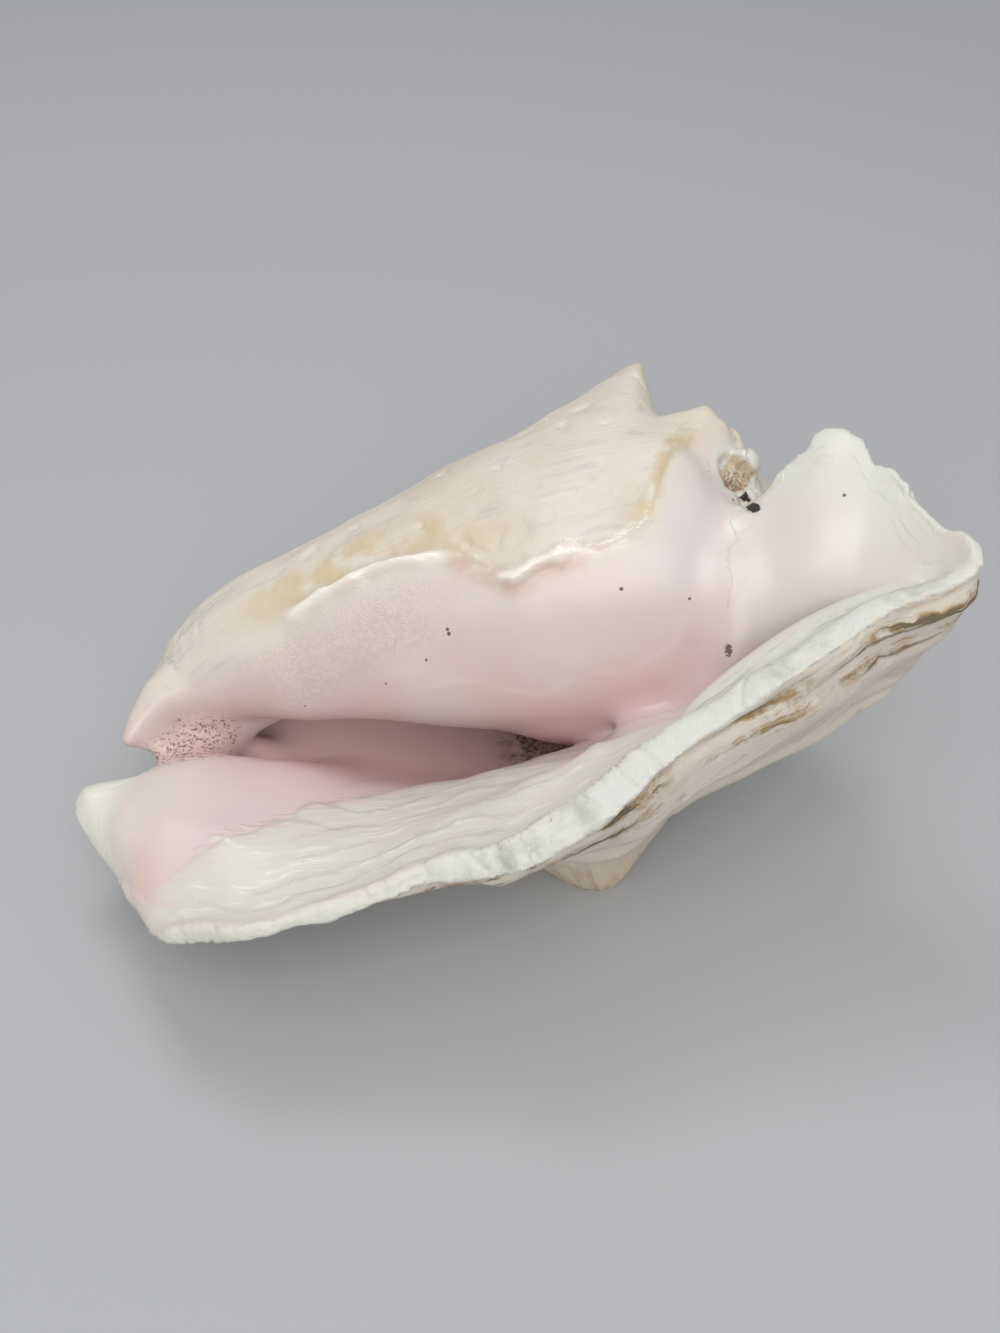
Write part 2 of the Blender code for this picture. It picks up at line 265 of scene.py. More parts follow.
# What is run into the shell as round-sectioned fillings
FILLINGS = {
    "shard": SHARD, "wall": CANAL_WALL, "floor": CANAL_FLOOR, "behind": BEHIND_RIM, "lobe": LOBE_MOUND,
    "foot": COLUMELLA_FOOT, "filler": [(*place, VALLEY_FILL) for place in VALLEY],
}

# Where the shell is smoothed after that: name, line, how far from it, over how much it fades, passes
SOFTENED = (
    ("valley", VALLEY, 13, 7, 150), ("beak", BEAK_JOIN, 10, 7, 40),
    ("behind", BEHIND_RIM, 15, 7, 60), ("fold", LOBE_FOLD, 15, 8, 200),
    ("lobe", LOBE_MOUND, 15, 7, 130), ("corner", BACK_CORNER, 10, 5, 70),
    ("canal", CANAL_SOIL, 12, 6, 40), ("canal end", CANAL_END, 12, 5, 160),
)

# What the chips leave out: the lump, the tooth and the step of the wing's edge: share of the flare's
# length, from and to which share of the edge, and how soft its ends are
WING_EDGE = ((0.022, 0.05, 0.084, 0.005), (0.012, 0.092, 0.099, 0.004), (-0.02, 0.104, 0.131, 0.004))


def smooth_step(t):
    t = np.clip(t, 0, 1)
    return t * t * (3 - 2 * t)


def band(value, centre, width):
    return np.exp(-(((value - centre) / width) ** 2))


def rise(value, start, width):
    """0 up to a start, and 1 once a width past it."""
    return smooth_step((value - start) / width)


def fall(value, end, width):
    """1 until a width before an end, and 0 past it."""
    return smooth_step((end - value) / width)


def between(value, low, high, soft):
    return rise(value, low, soft) * fall(value, high, soft)


def looked_up(table, at):
    rows = np.asarray(table, float)
    return np.interp(at, rows[:, 0], rows[:, 1])


def distance_to_line(places, line):
    """Distance of each place from a line through a few points, whose radii don't count."""
    line = np.asarray(line, float)[:, :3]
    found = np.full(len(places), np.inf)
    for start, end in zip(line[:-1], line[1:]):
        ahead = end - start
        t = np.clip((places - start) @ ahead / (ahead @ ahead), 0, 1)[:, None]
        found = np.minimum(found, np.linalg.norm(places - start - t * ahead, axis=1))
    return found


def distance_to(places, centre, spread=1):
    return np.linalg.norm((places - centre) / spread, axis=1)


def flat_map(first, second):
    """Two distances as places on a map, for noise that is longer one way than the other."""
    return np.stack([first, second, 0 * first], -1)


def dot(first, second):
    return np.sum(first[:, :3] * second[:, :3], axis=1)


def lattice(cell, seed):
    """A fixed number from -1 to 1 for each cell of whole numbers."""
    mixed = cell[..., 0] * 374761393 + cell[..., 1] * 668265263 + cell[..., 2] * 1442695041 + seed * 97531
    mixed = (mixed ^ (mixed >> 13)) * 1274126177
    mixed = mixed ^ (mixed >> 16)
    return (mixed & 0xFFFF) / 32767.5 - 1


def noise(place, size, seed):
    """Smooth noise from -1 to 1, whose lumps are about size across."""
    at = np.asarray(place, float) / size
    cell = np.floor(at).astype(np.int64)
    t = at - cell
    t = t * t * (3 - 2 * t)
    total = 0
    for corner in itertools.product((0, 1), repeat=3):
        weight = np.prod(np.where(np.array(corner) == 1, t, 1 - t), axis=-1)
        total = total + weight * lattice(cell + np.array(corner), seed)
    return total


def rough(place, size, seed):
    """Noise in three layers, each half as strong and as large as the one before it."""
    layers = [0.5**n * noise(place, np.asarray(size) * 0.5**n, seed + n) for n in range(3)]
    return sum(layers) / 1.75


def curve_through(rows, at):
    """Smooth curve through rows of a parameter and the values there."""
    table = np.asarray(rows, float)
    key, value = table[:, 0], table[:, 1:]
    slope = np.gradient(value, key, axis=0)
    i = np.clip(np.searchsorted(key, at, side="right") - 1, 0, len(key) - 2)
    span = (key[i + 1] - key[i])[..., None]
    t = (np.asarray(at, float) - key[i])[..., None] / span
    return cubic(t, value[i], slope[i] * span, value[i + 1], slope[i + 1] * span)


def cubic(t, start, start_slope, end, end_slope):
    near = 2 * t**3 - 3 * t**2 + 1
    return (
        near * start
        + (t**3 - 2 * t**2 + t) * start_slope
        + (1 - near) * end
        + (t**3 - t**2) * end_slope
    )


def whorl(growth_angle, share):
    """Radius and height of the regular whorl's outer face."""
    growth = EXPANSION ** (np.asarray(growth_angle) / 360)
    row = curve_through(PROFILE, share)
    lag = 1 - ANTERIOR_LAG * smooth_step(share)
    height = row[..., 1] * growth**lag
    late = row[..., 1] * (EXPANSION ** (LATE_GROWTH / 360)) ** lag
    held = smooth_step(share * 1.1) * (np.asarray(growth_angle) > LATE_GROWTH)
    taper = growth ** (ANTERIOR_TAPER * smooth_step(share))
    early = fall(np.asarray(growth_angle), -245, 100)
    pinch = EARLY_PINCH * rise(share, 0.6, 0.3)
    pinch = pinch + EARLY_END_PINCH * rise(share, 0.84, 0.12)
    radius = row[..., 0] * growth * taper * (1 - early * pinch)
    return radius * (1 + nodules(growth_angle, share)), height + (late - height) * held


def nodules(growth_angle, share):
    """Rounded knobs along the shoulder of the spire's whorls, as a share of the radius."""
    spire = fall(np.asarray(growth_angle), -350, 40)
    around = np.cos(np.pi * np.asarray(growth_angle) / NODULE_STEP) ** 4
    return NODULE * spire * band(share, 0.24, 0.07) * around


def flare(along, share):
    """Radius, azimuth and height between the regular whorl (along 0) and the lip's edge (along 1)."""
    radius, height = whorl(FLARE_FROM, share)
    next_radius, next_height = whorl(FLARE_FROM + 1, share)
    start = np.stack([radius, np.full_like(radius, FLARE_FROM), height], -1)
    middle, end = curve_through(MIDDLE, share), curve_through(MARGIN, share)
    first, second = (middle - start) / MIDDLE_AT, (end - middle) / (1 - MIDDLE_AT)
    per_degree = np.stack([next_radius - radius, np.ones_like(radius), next_height - height], -1)
    start_slope = per_degree * first[..., 1:2]
    middle_slope = (1 - MIDDLE_AT) * first + MIDDLE_AT * second
    end_slope = (3 * second - middle_slope) / 2
    near, far = MIDDLE_AT, 1 - MIDDLE_AT
    t = np.asarray(along)[..., None]
    inner = cubic(np.clip(t / near, 0, 1), start, start_slope * near, middle, middle_slope * near)
    outer = cubic(np.clip((t - near) / far, 0, 1.1), middle, middle_slope * far, end, end_slope * far)
    place = np.where(t < near, inner, outer)
    return place[..., 0], place[..., 1], place[..., 2]


def axis_bend(height):
    """The anterior end curls away from the aperture's side."""
    past = np.clip((-np.asarray(height) + BEND_FROM) / BEND_OVER, 0, None)
    return np.stack([BEND_SIDE * past**2, 0 * past, BEND_DOWN * past**2], -1)


def point(radius, azimuth, height):
    turn = np.radians(azimuth)
    height = np.asarray(height, float) + 0 * turn
    return np.stack([radius * np.cos(turn), height, radius * np.sin(turn)], -1) + axis_bend(height)


def polar(place):
    """Radius and azimuth about the coiling axis."""
    flat = place - axis_bend(place[..., 1])
    return np.hypot(flat[..., 0], flat[..., 2]), np.degrees(np.arctan2(flat[..., 2], flat[..., 0]))


def broken_edge(share):
    """How much of the flare is left at its edge, as a share of its length: chips, a step and a lump."""
    line = flat_map(share * ACROSS_LENGTH, 0 * share)
    scallops = 0.01 * noise(line, 19, 5) * between(share, 0.4, 0.8, 0.05)
    chips = 0.005 * noise(line, 9, 1) + 0.004 * noise(line, 4, 2) + 0.002 * noise(line, 2.2, 3)
    corner = between(share, 0.7, 0.83, 0.02)
    chips = chips * (1 + 1.2 * corner) + 0.012 * corner * noise(line, 5, 4)
    wing = between(share, 0, 0.16, 0.015)
    chips = chips * (1 - 0.75 * wing) * fall(share, 0.87, 0.02)
    left = 0.994 + scallops + chips
    for height, low, high, soft in WING_EDGE:
        left = left + height * between(share, low, high, soft)
    return left


def regular_whorls(start, end, step):
    """A grid of growth angles and shares, and the whorls' outer face at each of them."""
    columns = np.linspace(0, 1, SECTION_COLUMNS)
    turns, share = np.meshgrid(np.arange(start, end, step), columns, indexing="ij")
    radius, height = whorl(turns, share)
    return turns, share, point(radius, turns, height)


def outer_face():
    """The last whorl's outer face and lip: rows along growth, columns from suture to canal."""
    turns, share, whorls = regular_whorls(SHEET_FROM, FLARE_FROM, GROWTH_STEP)
    along = np.linspace(0, 1, FLARE_ROWS)[:, None] * broken_edge(share[:1])
    share = share[:1] + 0 * along
    lip = point(*flare(along, share))
    growth = np.vstack([turns, FLARE_FROM + 0 * along])
    along = np.vstack([0 * turns, along])
    return np.vstack([whorls, lip]), growth, along, share[:1] + 0 * along


def with_spines(grid):
    """Draws the outer face out into blunt, cone-like spines."""
    pull = np.zeros_like(grid)
    for foot, tip, reach, posterior_reach in SPINES:
        foot, tip = point(*foot), point(*tip)
        away = (grid - foot) / reach
        away[..., 1] *= np.where(away[..., 1] > 0, reach / posterior_reach, 1)
        far = np.sqrt(np.sum(away**2, axis=-1) + SPINE_BLUNTNESS**2) - SPINE_BLUNTNESS
        near = np.clip(1 - far, 0, 1)
        pull += (near**SPINE_SHARPNESS)[..., None] * (tip - foot)
    return grid + pull


def face_normals(grid):
    across, along = np.gradient(grid, axis=1), np.gradient(grid, axis=0)
    normal = np.cross(along, across)
    return normal / np.maximum(np.linalg.norm(normal, axis=-1, keepdims=True), 1e-9)


def wall_thickness(along, share):
    """Thin in the whorls and the wing, heavy in the outer lip, with a thick rim beside the wing."""
    heavy = rise(share, 0.17, 0.12) * fall(share, 0.86, 0.08)
    lip = WING_WALL + (LIP_WALL - WING_WALL) * heavy
    wall = WALL + (lip - WALL) * rise(along, 0.3, 0.4)
    wall = wall + looked_up(THICKENING, share) * rise(along, 0.25, 0.3)
    rim = rise(share, 0.13, 0.07) * fall(share, 0.58, 0.2)
    edge = EDGE_WALL + (RIM_WALL - EDGE_WALL) * rim
    lobe = rise(share, 0.74, 0.1)
    rounded = 1 - np.sqrt(1 - np.clip((along - 0.5) / 0.5, 0, 1) ** 2)
    thinned = (1 - lobe) * rise(along, 0.8, 0.2) + lobe * rounded
    return wall + (edge - wall) * thinned


def placed(name, data):
    """A new object in the scene."""
    thing = bpy.data.objects.new(name, data)
    bpy.context.scene.collection.objects.link(thing)
    return thing


def grid_solid(name, grid, sheet=False):
    """A closed mesh from rows of points: the rows are loops, and the first and last are capped.

    The loops of a sheet run out along one face and back along the other, so its caps are narrow strips.
    """
    rows, columns = grid.shape[:2]
    index = np.arange(rows * columns).reshape(rows, columns)
    right = np.roll(index, -1, axis=1)
    faces = np.stack([index[:-1], right[:-1], right[1:], index[1:]], -1).reshape(-1, 4).tolist()
    if sheet:
        for row in (index[0, ::-1], index[-1]):
            back = row[::-1]
            ladder = np.stack([row[:-1], row[1:], back[1:], back[:-1]], -1)
            faces += ladder[: columns // 2 - 1].tolist()
    else:
        faces += [index[0, ::-1].tolist(), index[-1].tolist()]
    data = bpy.data.meshes.new(name)
    data.from_pydata(grid.reshape(-1, 3).tolist(), [], faces)
    return placed(name, data)


def run_of(growth):
    """Distance along the growth of the shell, in millimetres at the last whorl's shoulder."""
    return RUN_SCALE * EXPANSION ** (growth / 360)


def edge_distance(grid):
    steps = np.linalg.norm(np.diff(grid, axis=0), axis=-1)
    left = np.cumsum(steps[::-1], axis=0)[::-1]
    return np.vstack([left, np.zeros_like(grid[:1, :, 0])])


def surface(side, grid, growth, share, run, edge):
    """What the shell's surface says of itself at each point of a grid: which face, and where on it."""
    fields = np.stack([growth, share, run, edge], -1)
    wide = np.concatenate([grid, fields], -1)
    down, over = np.gradient(wide, axis=0), np.gradient(wide, axis=1)
    flat = [part.reshape(-1, wide.shape[-1]) for part in (wide, down, over)]
    return flat + [np.full(len(flat[0]), side)]


def older_whorls(faces):
    """The filled older whorls: a section from the axis to the outer face, swept along its spiral."""
    turns, share, grid = regular_whorls(CORE_FROM, CORE_TO + 1, 2 * GROWTH_STEP)
    ends, bare = turns[:, :2], grid
    grid = with_spines(grid)
    parts = (grid, turns, share, run_of(turns), np.full_like(turns, FAR_INSIDE))
    faces.append(surface(OUTER, *[part[:, ::2] for part in parts]))
    axis = point(0 * ends - 1, ends, bare[:, [-1, 0], 1])
    return grid_solid("older", np.concatenate([grid, axis], axis=1))


def last_whorl(faces):
    outer, growth, along, share = outer_face()
    normals = face_normals(outer)
    inner = outer - normals * wall_thickness(along, share)[..., None]
    outer = with_spines(outer)
    run = run_of(growth) + FLARE_RUN * along
    growth = growth - FLARE_FROM * along
    for grid, side in ((outer, OUTER), (inner, INNER)):
        parts = (grid, growth, share, run, edge_distance(grid))
        faces.append(surface(side, *[part[::2, ::2] for part in parts]))
    t = np.linspace(0.08, 0.92, RIM_ROWS)[:, None, None]
    rim = outer[-1] + (inner[-1] - outer[-1]) * t
    last = [part[-1:, ::2] + 0 * rim[:, ::2, 0] for part in (growth, share, run)]
    faces.append(surface(RIM, rim[:, ::2], *last, 0 * last[0]))
    return grid_solid("whorl", np.concatenate([outer, inner[:, ::-1]], axis=1), sheet=True)


def tube(table, sides=48, stations=120):
    """Rings of round sections along a few stations of x, y, z and radius."""
    keys = [(i, *row) for i, row in enumerate(table)]
    line = curve_through(keys, np.linspace(0, len(table) - 1, stations))
    ahead = np.gradient(line[:, :3], axis=0)
    ahead /= np.linalg.norm(ahead, axis=1, keepdims=True)
    aside = np.cross(ahead, (0.31, 0.17, 0.94))
    aside /= np.linalg.norm(aside, axis=1, keepdims=True)
    other = np.cross(ahead, aside)
    turn = np.linspace(0, 2 * math.pi, sides, endpoint=False)
    ring = np.cos(turn)[None, :, None] * aside[:, None] + np.sin(turn)[None, :, None] * other[:, None]
    return line[:, None, :3] + ring * line[:, None, 3:]


def pillar(faces):
    """The columella."""
    grid = tube(COLUMELLA)
    share = np.linspace(0.5, 1, len(grid))[:, None] + 0 * grid[..., 0]
    growth = -300 + 0 * share
    faces.append(surface(PILLAR, grid, growth, share, run_of(growth), FAR_INSIDE + 0 * share))
    return grid_solid("pillar", grid)


def filling(name, table):
    """A round-sectioned body that the remesh runs into the rest."""
    return grid_solid(name, tube(table, 24, 12 * len(table)))


def applied(body, kind, **settings):
    modifier = body.modifiers.new(kind.title(), kind)
    for key, value in settings.items():
        setattr(modifier, key, value)
    with bpy.context.temp_override(object=body, active_object=body):
        bpy.ops.object.modifier_apply(modifier=modifier.name)


def triples(items, name):
    """Three numbers of each item of a mesh, as rows."""
    flat = np.empty(len(items) * 3, np.float32)
    items.foreach_get(name, flat)
    return flat.reshape(-1, 3).astype(float)


def places_of(body):
    return triples(body.data.vertices, "co")


class Chart:
    """Finds where a point lies on the shell, from the nearest point of the faces it was built from."""

    def __init__(self, faces):
        self.wide, self.down, self.over, self.side = [np.concatenate(part) for part in zip(*faces)]
        self.tree = KDTree(len(self.wide))
        for index, place in enumerate(self.wide[:, :3].tolist()):
            self.tree.insert(place, index)
        self.tree.balance()

    def at(self, places):
        nearest = np.array([self.tree.find(place)[1] for place in places.tolist()])
        wide, down, over = self.wide[nearest], self.down[nearest], self.over[nearest]
        away = places - wide[:, :3]
        aa, ab, bb = dot(down, down), dot(down, over), dot(over, over)
        a, b = dot(down, away), dot(over, away)
        room = np.maximum(aa * bb - ab * ab, 1e-9)
        rows = np.clip((bb * a - ab * b) / room, -1, 1)[:, None]
        columns = np.clip((aa * b - ab * a) / room, -1, 1)[:, None]
        growth, share, run, edge = (wide + rows * down + columns * over)[:, 3:].T
        radius, azimuth = polar(places)
        return SimpleNamespace(
            place=places, side=self.side[nearest], growth=growth, share=np.clip(share, 0, 1), run=run,
            edge=np.maximum(edge, 0), across=share * ACROSS_LENGTH, radius=radius, azimuth=azimuth,
            height=places[:, 1],
        )


def callus_distance(at, turned, valley):
    """Distance from the edge of the glaze: above 0 on it, and below 0 beside it."""
    outer, inner = at.side == OUTER, at.side == INNER
    callus = (looked_up(CALLUS_EDGE, at.height) - turned) * np.radians(at.radius)
    spire = (at.growth < SPIRE_TO) & (at.share < SPIRE_SHARE)
    beak = (at.side == PILLAR) & (at.height < -150)
    deep = np.maximum(rise(at.edge, 26, 16), fall(valley, 26, 8))
    glaze = 2 * REACH * deep - REACH
    callus = np.where(outer | beak, np.where(spire, -REACH, callus), np.where(inner, glaze, REACH))
    return np.where(at.side == RIM, -REACH, np.clip(callus, -REACH, REACH))


def zones(at):
    """How much of each finish there is at each point, from 0 to 1, and distances in millimetres."""
    outer, inner, rim = at.side == OUTER, at.side == INNER, at.side == RIM
    y, place, edge = at.height, at.place, at.edge
    turned = np.where(at.side == PILLAR, at.azimuth, at.growth + 360)
    valley = distance_to_line(place, VALLEY)
    canal = distance_to_line(place, CANAL_SOIL)
    hollow = distance_to(place, HOLLOW)
    callus = callus_distance(at, turned, valley)
    layer = looked_up(LAYER_WIDTH, y) - edge
    layer = np.where(inner | rim, np.clip(layer, -REACH, REACH), -REACH)
    wing = rise(y, -66, 22) * fall(edge, 75, 20)
    glazed = rise(callus, -0.5, 1)
    body = outer * glazed
    lip = outer * (at.growth > LIP_FROM)
    soiled = np.where(outer, fall(place[:, 2], 1, 2), 1)
    low = fall(turned, 28, 24) * between(y, -104, -34, 22)
    beside_wing = fall(valley, 9, 7) * fall(turned, 58, 16)
    unlayered = np.maximum(fall(layer, 1.5, 5), rise(at.share, 0.8, 0.04))
    rim_like = np.where(rim, 1, inner * fall(edge, 12, 8))
    rolled = rise(looked_up(CALLUS_RIM, y), 0.2, 1)
    back = between(y, -106, -66, 9) * between(at.azimuth, -105, -60, 11)
    return {
        "callus": callus,
        "layer": layer,
        "inner": inner.astype(float),
        "wing": wing,
        "rim": rim.astype(float),
        "blue": rim_like * between(y, -116, 12, 14),
        "inside": inner * rise(edge, 55, 20) * (1 - wing),
        "rose": body * np.maximum(low, beside_wing),
        "pale": body * between(y, -64, -20, 14) * rise(turned, 30, 25),
        "frost": outer * between(callus, -1, 24, 7) * between(y, -168, -98, 16),
        "yellow": outer * between(callus, -15, 3, 6) * between(y, -165, -78, 26),
        "orange": outer * between(callus, -3, 7, 3.5) * between(y, -104, -60, 8),
        "shoulder": outer * between(callus, -7, 3, 3.5) * between(y, -60, -36, 6),
        # Where a painted highlight runs along the top of the callus's rolled rim
        "crest": outer * band(wandering(callus, place), 0.7, 1.4) * rolled,
        "skin": soiled * fall(canal, 8.5, 5),
        "lobe": fall(y, -158, 26) * (inner | rim) * unlayered,
        "streak": lip * between(edge, -1, 15, 4) * between(y, -150, 20, 15),
        "lip": lip * between(edge, 4, 40, 6) * between(y, -100, 20, 15),
        "knob": outer * fall(distance_to(place, point(*KNOB_TIP)), 34, 14),
        "salmon": inner * band(distance_to(place, SALMON_PLACE, SALMON_SPREAD), 0, 6.5),
        "canal": soiled * fall(canal, 8.5, 4),
        "corner": back * (at.radius < 56),
        "stain": band(distance_to(place, STAIN_PLACE, STAIN_SPREAD), 0, 1.2),
        "hollow": fall(hollow, 5.4 + 1.6 * rough(place, 3, 32), 1.6),
        "broken": fall(hollow, 9.5 + 2 * rough(place, 4, 34), 3),
        "slot": np.minimum(distance_to_line(place, SLOT), LINE_REACH),
        "crack": np.minimum(distance_to_line(place, CRACK), LINE_REACH),
        "old": outer * (1 - glazed),
    }


# How many passes each finish is blurred over, everywhere and in the valley beside the wing
BLURRED = {
    "inner": 16, "wing": 40, "inside": 20, "rose": 25, "pale": 20, "lobe": 16, "rim": 1, "blue": 5,
    "knob": 8, "lip": 5, "skin": 8, "salmon": 10,
}
VALLEY_PASSES = 140
VALLEY_BLURRED = ("inner", "wing", "rose", "callus")


def blurred(body, place, fields):
    """Softens where some of the finishes meet, most of all in the valley beside the wing."""
    ends = np.empty(len(body.data.edges) * 2, np.int64)
    body.data.edges.foreach_get("vertices", ends)
    a, b = ends.reshape(-1, 2).T
    total = len(body.data.vertices)
    count = np.maximum(np.bincount(a, minlength=total) + np.bincount(b, minlength=total), 1)

    def averaged(values, passes):
        for _ in range(passes):
            around = np.bincount(a, values[b], total) + np.bincount(b, values[a], total)
            values = 0.5 * values + 0.5 * around / count
        return values

    valley = fall(distance_to_line(place, VALLEY), 20, 8)
    for name, passes in BLURRED.items():
        fields[name] = averaged(fields[name], passes)
    for name in VALLEY_BLURRED:
        fields[name] = fields[name] + valley * (averaged(fields[name], VALLEY_PASSES) - fields[name])
    return fields


def relief(at, zone):
    """How far wear and growth lift the surface, in millimetres."""
    lines = flat_map(at.run, at.across)
    old = zone["old"]
    worn = 0.5 + 0.5 * noise(at.place, 22, 10)
    lift = old * 0.5 * noise(lines, (12, 60, 1), 11)
    lift += old * 0.16 * worn * noise(lines, (3.2, 40, 1), 12)
    lift += old * 0.22 * noise(lines, (90, 7, 1), 13)
    lift += old * 0.3 * rough(at.place, 9, 14)
    lift -= old * 0.6 * rise(noise(at.place, 3.4, 15), 0.62, 0.2)
    anterior = old * fall(at.height, -150, 20)
    lift += anterior * 0.35 * rough(at.place, 3.2, 16)
    lift += callus_relief(at, zone)
    lift += lip_relief(flat_map(at.edge, at.across), at, zone)
    lift *= rise(distance_to_line(at.place, VALLEY), 4, 9)
    crumbs = between(zone["slot"], -1, 4, 2) * zone["broken"]
    return lift + 0.5 * zone["hollow"] * rough(at.place, 2, 31) + 0.6 * crumbs * rough(at.place, 2.6, 35)


def wandering(callus, place):
    """Distance from the callus's edge, which does not run quite straight."""
    return callus + 1.5 * noise(place, 9, 21) + 0.5 * noise(place, 3, 22)


def callus_relief(at, zone):
    """The rolled rim of the callus, its wrinkles, and a slight swell of the glaze beside it."""
    callus, y = zone["callus"], at.height
    near = (np.abs(callus) < REACH - 1) & (at.side == OUTER)
    tall = looked_up(CALLUS_RIM, y)
    wander = wandering(callus, at.place)
    thick = rise(wander, -1.5, 2.5) * fall(callus, 24, 22)
    crest = band(wander, 0.7, 1.8) * (1 + 0.3 * noise(at.place, 5, 23))
    wrinkled = between(y, -103, -76, 6) + between(y, -64, -48, 4)
    folds = rough(flat_map(callus, y), (3.2, 9, 1), 24)
    wrinkles = wrinkled * between(callus, -9, 1.5, 2.5) * 0.9 * folds
    swell = 0.3 * smooth_step(callus / 3) * noise(at.place, 18, 25)
    return near * (tall * (0.5 * thick + 0.9 * crest) + wrinkles + swell)


def lip_relief(around, at, zone):
    """The flaking layers inside the lip, its broken rim and edge, and the grooves of the knob."""
    inner, rim = at.side == INNER, zone["rim"]

    def flaky(size, length, seed):
        return noise(around, (size, length, 1), seed)

    calm = 1 - np.maximum(zone["lobe"], zone["wing"] * rise(at.edge, 7, 6))
    layered = smooth_step((zone["layer"] + 2.5 * flaky(6, 9, 41)) / 1.5) * calm * inner
    layered *= 1 - zone["wing"]
    patches = smooth_step(flaky(7, 20, 44) * 2 + 0.4)
    flakes = flaky(2.6, 16, 42) + 0.5 * flaky(1.6, 8, 43)
    shelf = (at.edge + 5 * flaky(20, 26, 57) + 1.2 * flaky(4, 6, 58)) / 8
    shelves = smooth_step(flaky(12, 24, 59) * 2.5 + 0.5) * (shelf - np.floor(shelf)) ** 2
    lift = layered * (
        0.35 + 0.12 * patches * flakes + 0.35 * rough(at.place, 9, 40)
        + 0.7 * flaky(12, 26, 55) + 0.35 * shelves
    )
    rough_rim = rim * (0.35 + 0.65 * rise(at.height, -116, 20)) * (1 - zone["lobe"])
    lift += rough_rim * (0.4 * rough(at.place, 4, 45) + 0.2 * flaky(1, 12, 46))
    crack = noise(around + flat_map(3 * at.place[:, 2], 0 * at.run), (4, 22, 1), 47)
    lift -= rough_rim * 0.7 * band(crack, 0, 0.1)
    near_edge = fall(at.edge, 7, 7) * (1 - zone["lobe"])
    near_edge = near_edge * (1 - 0.7 * zone["wing"] * inner)
    chipped = 0.9 * noise(at.place, 10, 54) + 0.4 * rough(at.place, 4, 48)
    lift += near_edge * between(at.height, -200, 20, 20) * chipped
    lift += lip_folds(around, at)
    tip = at.place - point(*KNOB_TIP)
    angle = np.arctan2(tip[:, 1], tip[:, 0] + tip[:, 2])
    lift += zone["knob"] * 0.25 * np.sin(angle * 13 + 1.5 * noise(at.place, 8, 51))
    return lift


def lip_folds(around, at):
    """Ledges and facets of old growth on the outer side of the lip, below its edge and further down."""
    outer = (at.side == OUTER) & (at.growth > LIP_FROM)
    slanted = around + flat_map(0.18 * at.across, 0 * at.run)
    wander = 3 * noise(at.place, 14, 53)[:, None] * (1, 0, 0)
    ledge = noise(slanted + wander, (8, 34, 1), 49)
    facets = 1 - 2 * np.abs(noise(slanted, (20, 26, 1), 56))
    reach = fall(at.edge, 60, 15) * rise(at.edge, 1, 3)
    lift = outer * reach * (
        1.6 * np.sign(ledge) * np.sqrt(np.abs(ledge)) * between(at.edge, 2, 60, 8)
        + 0.6 * noise(slanted, (3.5, 18, 1), 50) + 1.2 * facets
    )
    groove = outer * band(at.edge, 3.2 + 1.2 * noise(around, (30, 18, 1), 52), 1.4)
    return lift - 0.9 * groove * between(at.height, -150, 10, 20)


def lying_frame():
    """From the shell's own frame to the world: lip towards -Y, apex towards +X, aperture up."""
    own = Matrix(((0, 1, 0, 0), (-1, 0, 0, 0), (0, 0, 1, 0), (0, 0, 0, 1)))
    lean = Matrix.Rotation(math.radians(LEAN), 4, "X")
    tilt = Matrix.Rotation(math.radians(-AXIS_RISE), 4, "Y")
    lift = Matrix.Translation([MM * distance for distance in APEX_PLACE])
    return lift @ Matrix.Scale(MM, 4) @ tilt @ lean @ own


def wear_flat(body):
    """Cuts off what would reach below the surface that the shell lies on."""
    mesh = bmesh.new()
    mesh.from_mesh(body.data)
    cut = bmesh.ops.bisect_plane(
        mesh, geom=mesh.verts[:] + mesh.edges[:] + mesh.faces[:], dist=CUT_NEARNESS,
        plane_co=(0, 0, 0), plane_no=(0, 0, 1), clear_inner=True,
    )
    edges = [e for e in cut["geom_cut"] if isinstance(e, bmesh.types.BMEdge)]
    filled = bmesh.ops.holes_fill(mesh, edges=edges, sides=0)["faces"]
    bmesh.ops.triangulate(mesh, faces=filled)
    mesh.to_mesh(body.data)
    mesh.free()


def drop_crumbs(body):
    """Keeps what joins the highest point of the shell, and drops the few loose crumbs beside it."""
    mesh = bmesh.new()
    mesh.from_mesh(body.data)
    near = {max(mesh.verts, key=lambda vertex: vertex.co.z)}
    kept = set(near)
    while near:
        near = {edge.other_vert(vertex) for vertex in near for edge in vertex.link_edges} - kept
        kept |= near
    crumbs = [vertex for vertex in mesh.verts if vertex not in kept]
    bmesh.ops.delete(mesh, geom=crumbs, context="VERTS")
    mesh.to_mesh(body.data)
    mesh.free()


